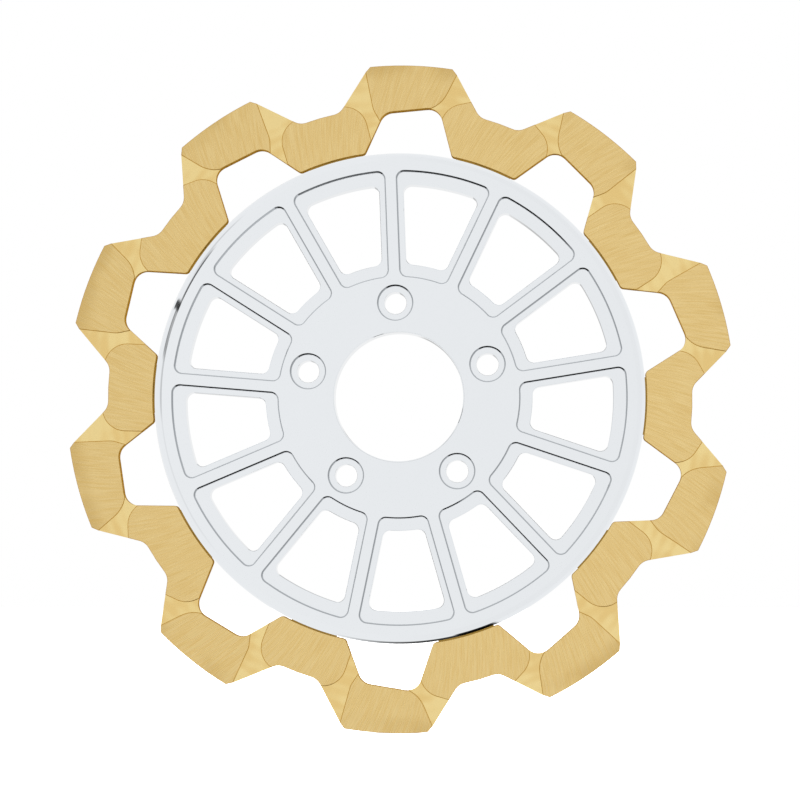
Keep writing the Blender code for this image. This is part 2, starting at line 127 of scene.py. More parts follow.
# The rear pad's edge slopes this much wider than the solid's, so that it mirrors the open tent.
PAD_EDGE_WIDEN = 0.4
EDGE_ROUND = 0.6
BOLT_HOLE_RADIUS = 4.9
BOLT_SEAT_RADIUS = 8.0
NOTCH_GAP = 0.5
NOTCH_FLOOR = 7.2
SCREW_HOLE_RADIUS = 2.2
SCREW_HOLE_TOP = 10.0

# Fasteners.
SCREW_RADIUS = 2.0
SCREW_TIP = 9.8
SCREW_HEAD_RADIUS = 4.0
SCREW_HEAD_HEIGHT = 2.2
SCREW_SOCKET_RADIUS = 1.5
SCREW_SOCKET_DEPTH = 1.3
SCREW_SOCKET_SIDES = 6
CROWN_SHARE = 0.75
CROWN_END_DEG = 80
CROWN_STEP_DEG = 8
BUSH_RADIUS = 4.0
BUSH_BORE_RADIUS = 2.3
BUSH_FLANGE_RADIUS = 6.2
BUSH_FLANGE_THICKNESS = 1.0
BUSH_FLANGE_TOP = 3.75
WASHER_OUTER_RADIUS = 6.0
WASHER_INNER_RADIUS = 4.3
WASHER_THICKNESS = 0.25
WASHER_WAVE = 0.1
WASHER_WAVES = 3
WASHER_EDGE = WASHER_THICKNESS / 4
FIT_GAP = 0.3

# Fine edges.
POCKET_DRAFT_DEG = 15.0
FLOOR_FILLET = 0.14
LIP = 0.06
RING_LIP = 0.2
BRIDGE_SLOPE_RUN = 0.3
WINDOW_LIP = 0.12
FASTENER_LIP = 0.15
OVERRUN = 2.0

# Facets.
RIM_STEPS = 312
ARC_STEP_DEG = 7.5
LONG_ARC_STEP_DEG = 1.5
HUB_ARC_STEP_DEG = 2.25
EDGE_ARC_STEP_DEG = 22.5
HOLE_STEPS = 48
FASTENER_STEPS = 40
WASHER_STEPS = 60
FILLET_STEPS = 6
SHARP_DEG = 16.0
FLAT_NORMAL = 0.99
STEEP_NORMAL = 0.2
WELD = 1e-7
REPEAT_GAP = 0.001

# Camera: the distance, direction and focal length that give the picture its perspective.
CAMERA_DISTANCE = 1.253
CAMERA_AZIMUTH_DEG = 2.8
CAMERA_ELEVATION_DEG = -3.7
CAMERA_LENS_MM = 128.75
CAMERA_AIM = (0.00035, 0.0, -0.0011)

# Floor and lights. A light is its name, its place and width in metres, and its power in watts.
FLOOR_HALF_WIDTH = 6.0
FLOOR_COLOUR = (0.9, 0.9, 0.9, 1.0)
FLOOR_ROUGHNESS = 0.9
FLOOR_GLOW = 0.5
LIGHTS = (
    ("overhead", (0.0, 0.3, 2.2), 3.0, 160.0),
    ("front_left", (-1.2, -1.4, 0.8), 1.2, 12.0),
)

# Finishes: pairs run from the darkest or smoothest to the lightest or roughest. A spread is the stretch of a
# noise's values over which a finish changes.
WIDE_SPREAD = (0.3, 0.7)
NARROW_SPREAD = (0.35, 0.65)
CHROME_TINTS = ((0.800, 0.825, 0.850), (0.815, 0.838, 0.862))
CHROME_ROUGHNESS = (0.035, 0.06)
CHROME_HAZE_SCALE = 60.0
CHROME_SCUFF_SCALE = 2500.0
GROUND_GOLDS = ((0.76, 0.535, 0.205), (0.95, 0.715, 0.320))
GROUND_ROUGHNESS = (0.24, 0.32)
# Painted shade: the ground lands darken in patches towards the ring's outer edge, where the face rounds off.
PAINTED_EDGE_SHADE_GOLD = (0.60, 0.39, 0.12)
PAINTED_EDGE_SHADE_RADII = (0.137, 0.146)
PAINTED_EDGE_SHADE_SHARE = 0.45
PAINTED_EDGE_SHADE_PATCH_SCALE = 40.0
PAINTED_EDGE_SHADE_PATCH_SPREAD = (0.42, 0.62)
MILLED_GOLDS = ((0.81, 0.585, 0.232), (0.92, 0.72, 0.323))
MILLED_ROUGHNESS = (0.20, 0.25)
CUTTER_MARK_SHARE = 0.12
CLOUD_SCALE = 70.0
# The ground strokes' scale round the axis and outwards from it, coarse and fine, how much they sway from
# side to side, and how far they turn about the axis on their way out, in radians per metre.
STROKE_SCALES = ((130.0, 60.0), (240.0, 100.0))
STROKE_SWIRL = 2.4
STROKE_SWAY = 0.03
STROKE_SWAY_SCALE = 22.0
# The cut faces of the ring: name, dark and light colour, roughness. The outer walls carry the cut walls' own
# colour. The other three are darkened further as painted shade.
CUT_EDGES = (
    # The chamfers: dark brown as a painted dark reflection, where the rounded edges mirror dark surroundings.
    ("edge_break_painted_shade", (0.46, 0.26, 0.05), (0.60, 0.36, 0.09), 0.40),
    ("cut_wall_outer", (0.54, 0.34, 0.09), (0.70, 0.47, 0.15), 0.45),
    # The inner walls: the outer walls' material darkened as painted shade, where the walls face into the
    # part.
    ("cut_wall_inner_painted_shade", (0.42, 0.24, 0.04), (0.58, 0.35, 0.07), 0.55),
    # The tab faces and foot walls: darkened as the painted shadow of the narrow groove under the carrier's
    # rim.
    ("tab_gold_painted_shade", (0.44, 0.27, 0.05), (0.54, 0.34, 0.08), 0.40),
)
WALL_STREAK_DENSITY = 150.0
WALL_ROUGHNESS_RANGE = 0.1
# The fasteners' steels: name, dark and light colour, metallic share, roughness.
ZINC_PLATE = ("zinc_plate", (0.50, 0.50, 0.49), (0.66, 0.66, 0.64), 1.0, 0.28)
BLACK_OXIDE = ("black_oxide", (0.035, 0.035, 0.04), (0.07, 0.07, 0.075), 0.6, 0.38)
BLOTCH_SCALE = 700.0
STEEL_ROUGHNESS_RANGE = 0.12

# What the chrome mirrors, by direction. A sector is the centre, half width and softness of a stretch of roll
# about the disc's axis, and a band is the low end, high end and softness of a stretch of lean from the axis,
# all in degrees. A fade is where a change starts and ends. A share is how much of the light is left.
RIGHT_SIDE_FADE = (-0.15, 0.15)
RIGHT_SIDE_SHARE = 0.965
COLLAR_BAND = (17, 39.5, 1)
COLLAR_FADE = (0.05, 0.35)
COLLAR_LOW_SHARE = 0.46
COLLAR_HIGH_SHARE = 0.58
COLLAR_BLACK_SECTOR = (257, 43, 3)
COLLAR_BLACK_SHARE = 0.04
# Dim patches in front, each a sector, a band and a share.
FRONT_PATCHES = (
    ((139, 6, 4), (64, 80, 4), 0.75),
    ((147.5, 6, 3), (45, 62, 5), 0.15),
    ((160.5, 5.5, 2), (45, 76, 4), 0.50),
    ((160.5, 5.5, 2), (66, 74, 4), 0.60),
    ((171, 7, 4), (45, 62, 5), 0.72),
    ((190, 20, 8), (45, 57, 4), 0.90),
)
AXIS_FADE = (0.2, 0.35)
AXIS_SHARE = 0.93
# Dark patches behind, each one or more sectors, the fade of its near side and a share. FAR_FADE is their far
# side, which keeps them off what the window walls mirror.
BACK_PATCHES = (
    (((271, 20.5, 1.5), (284, 20, 16)), (0.28, 0.42), 0.04),
    (((286.5, 5, 1),), (0.08, 0.2), 0.03),
)
FAR_FADE = (0.96, 0.90)
LEFT_SECTOR = (150, 50, 10)
LEFT_FADE = (0.45, 0.3)
LEFT_SHARE = 0.60
BEHIND_FADE = (-0.05, 0.05)
LEAST_LEAN_SQUARED = 0.0001
# A thin dark post that stands to the left, seen in the rim's edge.
POST_SECTOR = (154.8, 0.9, 0.6)
POST_FADES = ((-0.72, -0.66), (0.42, 0.32))
POST_SHARE = 0.08


# Outlines.


def polar(radius, degrees):
    angle = math.radians(degrees)
    return (radius * math.cos(angle), radius * math.sin(angle))


def arc(centre, radius, start_deg, end_deg, step_deg):
    """Points of an arc, both ends included."""
    steps = max(1, math.ceil(abs(end_deg - start_deg) / step_deg))
    points = []
    for i in range(steps + 1):
        x, y = polar(radius, start_deg + (end_deg - start_deg) * i / steps)
        points.append((centre[0] + x, centre[1] + y))
    return points


def circle(centre, radius, steps):
    return arc(centre, radius, 0, 360, 360 / steps)[:-1]


def turned(points, degrees):
    cosine, sine = polar(1, degrees)
    return [(x * cosine - y * sine, x * sine + y * cosine) for x, y in points]


def rounded(corners):
    """A closed outline whose corners (x, y, radius) are replaced by arcs of that radius."""
    points = []
    for i, (x, y, radius) in enumerate(corners):
        if radius == 0:
            points.append((x, y))
            continue
        before = corners[i - 1]
        after = corners[(i + 1) % len(corners)]
        in_deg = math.degrees(math.atan2(y - before[1], x - before[0]))
        out_deg = math.degrees(math.atan2(after[1] - y, after[0] - x))
        turn = (out_deg - in_deg + 180) % 360 - 180
        side = math.copysign(90, turn)
        reach = radius * math.tan(math.radians(abs(turn) / 2))
        back_x, back_y = polar(reach, in_deg)
        up_x, up_y = polar(radius, in_deg + side)
        centre = (x - back_x + up_x, y - back_y + up_y)
        points += arc(centre, radius, in_deg - side, in_deg - side + turn, ARC_STEP_DEG)
    return points


def without_repeats(points):
    kept = []
    for point in points:
        if not kept or math.dist(point, kept[-1]) > REPEAT_GAP:
            kept.append(point)
    if math.dist(kept[0], kept[-1]) < REPEAT_GAP:
        kept.pop()
    return kept


def counter_clockwise(outline):
    sides = zip(outline, outline[1:] + outline[:1])
    area = sum(here[0] * after[1] - after[0] * here[1] for here, after in sides)
    return outline if area > 0 else outline[::-1]


def grown(outline, distance):
    """A counter-clockwise outline moved outwards by a distance, or inwards by a negative one."""
    points = []
    for i, (x, y) in enumerate(outline):
        before = Vector(outline[i - 1])
        here = Vector((x, y))
        after = Vector(outline[(i + 1) % len(outline)])
        first = (here - before).normalized()
        second = (after - here).normalized()
        first_out = Vector((first.y, -first.x))
        second_out = Vector((second.y, -second.x))
        mitre = (first_out + second_out) / (1 + first_out.dot(second_out))
        points.append(tuple(here + distance * mitre))
    return points


# Meshes.


def new_object(name, shape):
    """Makes an object of a bmesh and adds it to the scene."""
    mesh = bpy.data.meshes.new(name)
    shape.to_mesh(mesh)
    shape.free()
    obj = bpy.data.objects.new(name, mesh)
    bpy.context.scene.collection.objects.link(obj)
    return obj


def stacked(shape, outline, levels):
    """Adds a closed solid to a bmesh: the outline grown by each level's distance, at each level's height."""
    rings = []
    for distance, height in levels:
        ring = grown(outline, distance) if distance else outline
        rings.append([shape.verts.new((x * MM, y * MM, height * MM)) for x, y in ring])
    count = len(outline)
    for low, high in zip(rings, rings[1:]):
        for i in range(count):
            after = (i + 1) % count
            shape.faces.new((low[i], low[after], high[after], high[i]))
    shape.faces.new(reversed(rings[0]))
    shape.faces.new(rings[-1])


def lip_levels(top, lip, upward=1):
    """Levels of a small chamfer where a cut meets a face at height top. upward is -1 if it looks down."""
    over = top + upward * OVERRUN
    return [(0, top - upward * lip), (2 * lip, top + upward * lip), (2 * lip, over)]


def pocket_levels(floor, top, draft_deg, fillet, lip):
    """Levels of a pocket cutter: a flat floor, a fillet, a leaning wall and a rounded lip at the top."""
    levels = []
    lean = math.tan(math.radians(draft_deg))
    for step in range(FILLET_STEPS + 1):
        angle = math.radians((90 - draft_deg) * step / FILLET_STEPS)
        inset = fillet * math.sin(angle)
        levels.append((inset, floor + fillet * (1 - math.cos(angle))))
    run = levels[-1][0]
    wall_low = levels[-1][1]
    wall_high = top - lip
    wall_run = run + (wall_high - wall_low) * lean
    for distance, height in lip_levels(top, lip):
        levels.append((wall_run + distance, height))
    # The chamfer's outer edge is the nominal outline.
    shift = wall_run + lip
    return [(distance - shift, height) for distance, height in levels]


def through_levels(low, high, lip):
    """Levels of a through cutter with a rounded lip on both faces, the outline being the straight wall."""
    return [*reversed(lip_levels(low, lip, -1)), *lip_levels(high, lip)]


def lathe(name, profile, steps):
    """A solid of revolution about Z from a closed profile of (radius, height) points."""
    mesh = bpy.data.meshes.new(name)
    points = [(radius * MM, 0, height * MM) for radius, height in profile]
    last = len(points) - 1
    mesh.from_pydata(points, [(i, i + 1) for i in range(last)] + [(last, 0)], [])
    obj = bpy.data.objects.new(name, mesh)
    bpy.context.scene.collection.objects.link(obj)
    screw = obj.modifiers.new("turn", "SCREW")
    screw.steps = steps
    screw.render_steps = steps
    screw.use_merge_vertices = True
    screw.merge_threshold = WELD
    bake(obj)
    shape = bmesh.new()
    shape.from_mesh(obj.data)
    bmesh.ops.recalc_face_normals(shape, faces=shape.faces)
    shape.to_mesh(obj.data)
    shape.free()
    return obj


def bake(obj):
    """Turns the object's modifiers into mesh."""
    graph = bpy.context.evaluated_depsgraph_get()
    mesh = bpy.data.meshes.new_from_object(obj.evaluated_get(graph))
    obj.modifiers.clear()
    obj.data = mesh


def cut(obj, cutter):
    modifier = obj.modifiers.new(cutter.name, "BOOLEAN")
    modifier.object = cutter
    modifier.operation = "DIFFERENCE"
    modifier.solver = "EXACT"
    bake(obj)
    bpy.data.objects.remove(cutter, do_unlink=True)


def shade(obj):
    """Smooth shading that leaves the flat faces flat, because they weigh the most at each corner."""
    obj.data.shade_smooth()
    obj.data.set_sharp_from_angle(angle=math.radians(SHARP_DEG))
    weighted = obj.modifiers.new("flat_faces_first", "WEIGHTED_NORMAL")
    weighted.mode = "FACE_AREA"
    weighted.weight = 100
    weighted.keep_sharp = True


def place(obj, body, *nodes):
    """Stands a flat piece up in the row frame, makes it ride on its body and replaces its CAD nodes."""
    upright = Matrix.Rotation(math.radians(90), 4, "X")
    obj.data.transform(Matrix.Translation((0, CARRIER_THICKNESS / 2 * MM, 0)) @ upright)
    obj.data.update()
    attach(obj, body)
    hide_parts(*nodes)


# Ring.


def lobe_deg(lobe):
    return FIRST_LOBE_DEG + lobe * LOBE_PITCH_DEG


def tab_deg(tab):
    return lobe_deg(tab) + LOBE_PITCH_DEG / 2


def tab_width(tab):
    return WIDE_TAB_WIDTH if tab % 2 else NARROW_TAB_WIDTH


def on_lobe(points, lobe):
    """Points of the pattern lobe moved to one of the lobes. Every second lobe is a mirror image."""
    if lobe % 2:
        points = [(-x, y) for x, y in reversed(points)]
    return turned(points, lobe_deg(lobe) - 90)


def outer_outline():
    shoulder_x, shoulder_y = LOBE_SHOULDER
    valley_x, valley_y = VALLEY_CORNER
    top_half = math.degrees(math.asin(LOBE_TOP_HALF_WIDTH / DISC_RADIUS))
    top = arc((0, 0), DISC_RADIUS, 90 - top_half, 90 + top_half, LONG_ARC_STEP_DEG)
    valley_foot = polar(VALLEY_RADIUS, 90 - LOBE_PITCH_DEG / 2)
    lobe = [(*valley_foot, 0.0), (valley_x, valley_y, VALLEY_FILLET), (shoulder_x, shoulder_y, 0.0)]
    lobe += [(x, y, 0.0) for x, y in top]
    lobe += [(-shoulder_x, shoulder_y, 0.0), (-valley_x, valley_y, VALLEY_FILLET)]
    outline = []
    for number in range(LOBES):
        corners = turned([corner[:2] for corner in lobe], lobe_deg(number) - 90)
        outline += [(*point, corner[2]) for point, corner in zip(corners, lobe)]
    return rounded(outline)


def tab_corners(width):
    """Half of a tab, drawn along +X: its root corner on the foot and its nose corner."""
    half = width / 2
    return (math.sqrt(FOOT_RADIUS**2 - half**2), half), (TAB_NOSE_RADIUS, half)


def inner_outline():
    """The feet with their tabs and the openings between them, one lobe's share after another."""
    half_pitch = LOBE_PITCH_DEG / 2
    wide_root, wide_nose = turned(tab_corners(WIDE_TAB_WIDTH), 90 - half_pitch)
    narrow_root, narrow_nose = turned([(x, -y) for x, y in tab_corners(NARROW_TAB_WIDTH)], 90 + half_pitch)
    share = (
        (*wide_nose, TAB_NOSE_FILLET),
        (*wide_root, 0.0),
        (*WIDE_FOOT_CORNER, FOOT_CORNER_FILLET),
        (*CUTOUT_HIGH_CORNER, CUTOUT_FILLET),
        (*CUTOUT_LOW_CORNER, CUTOUT_FILLET),
        (*NARROW_FOOT_CORNER, FOOT_CORNER_FILLET),
        (*narrow_root, 0.0),
        (*narrow_nose, TAB_NOSE_FILLET),
    )
    outline = []
    for lobe in range(LOBES):
        moved = on_lobe([corner[:2] for corner in share], lobe)
        fillets = [corner[2] for corner in share]
        if lobe % 2:
            fillets.reverse()
        outline += [(*point, fillet) for point, fillet in zip(moved, fillets)]
    return rounded(outline)


def ring_blank():
    """The ring before its bridges and tabs are thinned: an outer solid less an inner one, edges rounded."""
    shape = bmesh.new()
    levels = [
        (-RING_LIP, RING_REAR),
        (0, RING_REAR + RING_LIP),
        (0, RING_FRONT - RING_LIP),
        (-RING_LIP, RING_FRONT),
    ]
    stacked(shape, outer_outline(), levels)
    ring = new_object("friction_ring_fine", shape)
    shape = bmesh.new()
    stacked(shape, inner_outline(), through_levels(RING_REAR, RING_FRONT, RING_LIP))
    cut(ring, new_object("inner", shape))
    return ring


def make_ring():
    ring = ring_blank()
    shape = bmesh.new()
    for tab in range(LOBES):
        half = tab_width(tab) / 2 + NOTCH_GAP
        radius = FOOT_RADIUS + TAB_STEP_OVERLAP
        half_deg = math.degrees(math.asin(half / radius))
        face = arc((0, 0), radius, -half_deg, half_deg, LONG_ARC_STEP_DEG)
        inner = TAB_NOSE_RADIUS - OVERRUN
        outline = turned([(inner, -half), *face, (inner, half)], tab_deg(tab))
        levels = [(0, RING_REAR + TAB_THICKNESS), *lip_levels(RING_FRONT, RING_LIP)]
        stacked(shape, outline, levels)
    cut(ring, new_object("tab_step", shape))
    shape = bmesh.new()
    for tab in range(LOBES):
        hole = circle(polar(FASTENER_CIRCLE_RADIUS, tab_deg(tab)), TAB_HOLE_RADIUS, HOLE_STEPS)
        stacked(shape, hole, through_levels(RING_REAR, RING_REAR + TAB_THICKNESS, RING_LIP))
    cut(ring, new_object("tab_holes", shape))
    for face, direction in ((RING_FRONT, 1), (RING_REAR, -1)):
        shape = bmesh.new()
        for lobe in range(LOBES):
            for corners in (NARROW_SIDE_BRIDGE, WIDE_SIDE_BRIDGE):
                outline = counter_clockwise(on_lobe(rounded(corners), lobe))
                slope = BRIDGE_SLOPE_RUN / LAND_STEP
                floor = face - direction * LAND_STEP
                levels = [(-BRIDGE_SLOPE_RUN, floor), (OVERRUN * slope, face + direction * OVERRUN)]
                if direction < 0:
                    levels.reverse()
                stacked(shape, outline, levels)
        cut(ring, new_object("bridges", shape))
    shade(ring)
    return ring


# Carrier.


def window_outline(inner, outer, spoke_half_width, corner, degrees):
    """The opening between two spokes: sides parallel to the spokes, ends that follow the hub and the rim."""
    half_pitch = SPOKE_PITCH_DEG / 2
    side_offset = spoke_half_width + corner
    outer_deg = half_pitch - math.degrees(math.asin(side_offset / (outer - corner)))
    inner_deg = half_pitch - math.degrees(math.asin(side_offset / (inner + corner)))
    side_deg = half_pitch + 90
    points = arc((0, 0), outer, -outer_deg, outer_deg, LONG_ARC_STEP_DEG)
    for start, centre_radius, centre_deg, end in (
        (outer_deg, outer - corner, outer_deg, side_deg),
        (side_deg, inner + corner, inner_deg, inner_deg + 180),
    ):
        points += arc(polar(centre_radius, centre_deg), corner, start, end, ARC_STEP_DEG)
    points += arc((0, 0), inner, inner_deg, -inner_deg, HUB_ARC_STEP_DEG)
    for start, centre_radius, centre_deg, end in (
        (180 - inner_deg, inner + corner, -inner_deg, 360 - side_deg),
        (360 - side_deg, outer - corner, -outer_deg, 360 - outer_deg),
    ):
        points += arc(polar(centre_radius, centre_deg), corner, start, end, ARC_STEP_DEG)
    return turned(without_repeats(points), degrees)


def window_deg(window):
    return FIRST_BOLT_DEG + (window + 0.5) * SPOKE_PITCH_DEG


def bolt_deg(bolt):
    return FIRST_BOLT_DEG + bolt * 360 / BOLTS


def carrier_profile():
    """The carrier's section at a spoke, from the bore outwards over the front and back along the rear."""
    crease = math.radians(RIM_EDGE_CREASE_DEG)
    edge_radius = RIM_EDGE_WIDTH / (1 - math.sin(crease))
    edge_centre = (RIM_RADIUS - edge_radius, CARRIER_THICKNESS - edge_radius * math.cos(crease))
    rim_edge = arc(edge_centre, edge_radius, 90 - RIM_EDGE_CREASE_DEG, 0, ARC_STEP_DEG)
    rear = HUB_PAD_HEIGHT
    front = CARRIER_THICKNESS
    bore_centre = BORE_RADIUS + EDGE_ROUND
    rim_centre = RIM_RADIUS - EDGE_ROUND
    bore_front = arc((bore_centre, front - EDGE_ROUND), EDGE_ROUND, 180, 90, EDGE_ARC_STEP_DEG)
    rim_rear = arc((rim_centre, rear + EDGE_ROUND), EDGE_ROUND, 0, -90, EDGE_ARC_STEP_DEG)
    bore_rear = arc((bore_centre, EDGE_ROUND), EDGE_ROUND, 270, 180, EDGE_ARC_STEP_DEG)
    pad_top = HUB_PAD_RADIUS - PAD_EDGE_WIDEN
    pad_edge = [
        (HUB_PAD_RADIUS + HUB_PAD_HEIGHT + LIP, rear),
        (HUB_PAD_RADIUS + HUB_PAD_HEIGHT - LIP, rear - LIP),
        (pad_top + LIP, LIP),
        (pad_top - LIP, 0),
    ]
    return bore_front + rim_edge + rim_rear + pad_edge + bore_rear


def make_carrier():
    carrier = lathe("carrier_fine", carrier_profile(), RIM_STEPS)
    floor = CARRIER_THICKNESS - POCKET_DEPTH
    pockets = bmesh.new()
    levels = pocket_levels(floor, CARRIER_THICKNESS, POCKET_DRAFT_DEG, FLOOR_FILLET, LIP)
    for window in range(SPOKES):
        inner, outer = POCKET_INNER_RADIUS, POCKET_OUTER_RADIUS
        half_width = SPOKE_LAND_HALF_WIDTH
        outline = window_outline(inner, outer, half_width, POCKET_CORNER, window_deg(window))
        stacked(pockets, outline, levels)
    for bolt in range(BOLTS):
        centre = polar(BOLT_CIRCLE_RADIUS, bolt_deg(bolt))
        stacked(pockets, circle(centre, BOLT_SEAT_RADIUS, HOLE_STEPS), levels)
    cut(carrier, new_object("pockets", pockets))
    windows = bmesh.new()
    for window in range(SPOKES):
        inner, outer = WINDOW_INNER_RADIUS, WINDOW_OUTER_RADIUS
        half_width = SPOKE_WEB_HALF_WIDTH
        outline = window_outline(inner, outer, half_width, WINDOW_CORNER, window_deg(window))
        stacked(windows, outline, through_levels(HUB_PAD_HEIGHT, floor, WINDOW_LIP))
    for bolt in range(BOLTS):
        centre = polar(BOLT_CIRCLE_RADIUS, bolt_deg(bolt))
        stacked(windows, circle(centre, BOLT_HOLE_RADIUS, HOLE_STEPS), through_levels(0, floor, LIP))
    cut(carrier, new_object("windows", windows))
    notches = bmesh.new()
    for tab in range(LOBES):
        half = tab_width(tab) / 2 + NOTCH_GAP
        inner = TAB_NOSE_RADIUS - NOTCH_GAP
        outer = RIM_RADIUS + OVERRUN
        fillet = TAB_NOSE_FILLET + NOTCH_GAP
        corners = [(outer, -half, 0.0), (outer, half, 0.0)]
        corners += [(inner, half, fillet), (inner, -half, fillet)]
        outline = turned(rounded(corners), tab_deg(tab))
        stacked(notches, outline, [*reversed(lip_levels(HUB_PAD_HEIGHT, LIP, -1)), (0, NOTCH_FLOOR)])
    cut(carrier, new_object("notches", notches))
    holes = bmesh.new()
    for tab in range(LOBES):
        hole = circle(polar(FASTENER_CIRCLE_RADIUS, tab_deg(tab)), SCREW_HOLE_RADIUS, FASTENER_STEPS)
        stacked(holes, hole, [(0, NOTCH_FLOOR - OVERRUN), (0, SCREW_HOLE_TOP)])
    cut(carrier, new_object("screw_holes", holes))
    shade(carrier)
    return carrier


# Fasteners.


def make_bush():
    low = BUSH_FLANGE_TOP - BUSH_FLANGE_THICKNESS
    high = NOTCH_FLOOR - FIT_GAP / 2
    lip = FASTENER_LIP
    profile = [
        (BUSH_BORE_RADIUS, low + lip),
        (BUSH_BORE_RADIUS, high - lip),
        (BUSH_BORE_RADIUS + lip, high),
        (BUSH_RADIUS - lip, high),
        (BUSH_RADIUS, high - lip),
        (BUSH_RADIUS, BUSH_FLANGE_TOP),
        (BUSH_FLANGE_RADIUS - lip, BUSH_FLANGE_TOP),
        (BUSH_FLANGE_RADIUS, BUSH_FLANGE_TOP - lip),
        (BUSH_FLANGE_RADIUS, low + lip),
        (BUSH_FLANGE_RADIUS - lip, low),
        (BUSH_BORE_RADIUS + lip, low),
    ]
    return lathe("bush", profile, FASTENER_STEPS)


def make_screw():
    """A button-head screw standing head down, with a hexagon socket in its head."""
    head_top = BUSH_FLANGE_TOP - BUSH_FLANGE_THICKNESS - FIT_GAP / 2
    head_bottom = head_top - SCREW_HEAD_HEIGHT
    crown_height = SCREW_HEAD_HEIGHT * CROWN_SHARE
    lip = FASTENER_LIP
    crown = []
    for degrees in range(0, CROWN_END_DEG + 1, CROWN_STEP_DEG):
        angle = math.radians(degrees)
        across = SCREW_HEAD_RADIUS * math.cos(angle)
        crown.append((across, head_bottom + crown_height * (1 - math.sin(angle))))
    profile = [
        (0, SCREW_TIP),
        (SCREW_RADIUS - 2 * lip, SCREW_TIP),
        (SCREW_RADIUS, SCREW_TIP - 2 * lip),
        (SCREW_RADIUS, head_top),
        (SCREW_HEAD_RADIUS - lip, head_top),
        (SCREW_HEAD_RADIUS, head_top - lip),
        *crown,
        (0, crown[-1][1]),
    ]
    screw = lathe("screw", profile, FASTENER_STEPS)
    socket = bmesh.new()
    crown_low = crown[-1][1]
    levels = [*reversed(lip_levels(crown_low, lip, -1)), (0, crown_low + SCREW_SOCKET_DEPTH)]
    stacked(socket, circle((0, 0), SCREW_SOCKET_RADIUS, SCREW_SOCKET_SIDES), levels)
    cut(screw, new_object("socket", socket))
    return screw


def make_washer():
    """A flat washer bent into shallow waves, its edges rounded."""
    top = BUSH_FLANGE_TOP + WASHER_WAVE + FIT_GAP / 2 + WASHER_THICKNESS
    bottom = top - WASHER_THICKNESS
    edge = WASHER_EDGE
    section = [
        (WASHER_INNER_RADIUS, bottom + edge),
        (WASHER_INNER_RADIUS, top - edge),
        (WASHER_INNER_RADIUS + edge, top),
        (WASHER_OUTER_RADIUS - edge, top),
        (WASHER_OUTER_RADIUS, top - edge),
        (WASHER_OUTER_RADIUS, bottom + edge),
        (WASHER_OUTER_RADIUS - edge, bottom),
        (WASHER_INNER_RADIUS + edge, bottom),
    ]
    shape = bmesh.new()
    rings = []
    for radius, height in section:
        ring = []
        for step in range(WASHER_STEPS):
            turn = 360 * step / WASHER_STEPS
            lift = WASHER_WAVE * math.cos(math.radians(turn * WASHER_WAVES))
            x, y = polar(radius, turn)
            ring.append(shape.verts.new((x * MM, y * MM, (height + lift) * MM)))
        rings.append(ring)
    for near, far in zip(rings, rings[1:] + rings[:1]):
        for step in range(WASHER_STEPS):
            after = (step + 1) % WASHER_STEPS
            shape.faces.new((near[step], near[after], far[after], far[step]))
    bmesh.ops.recalc_face_normals(shape, faces=shape.faces)
    return new_object("washer", shape)


def make_fasteners(steel, black):
    for pattern, node, slot, material in (
        (make_bush(), "drive_bush", "zinc_steel", steel),
        (make_screw(), "tab_screw", "black_steel", black),
        (make_washer(), "wave_washer", "zinc_steel", steel),
    ):
        pattern.data.materials.append(material)
        for tab in range(LOBES):
            number = f"{tab + 1:02d}"
            copy = bpy.data.objects.new(f"{node}_fine_{number}", pattern.data.copy())
            bpy.context.scene.collection.objects.link(copy)
            x, y = polar(FASTENER_CIRCLE_RADIUS, tab_deg(tab))
            spin = Matrix.Rotation(math.radians(tab_deg(tab)), 4, "Z")
            copy.data.transform(Matrix.Translation((x * MM, y * MM, 0)) @ spin)
            shade(copy)
            place(copy, "carrier_body", f"{node}_{number}")
        bpy.data.objects.remove(pattern, do_unlink=True)


# Materials.


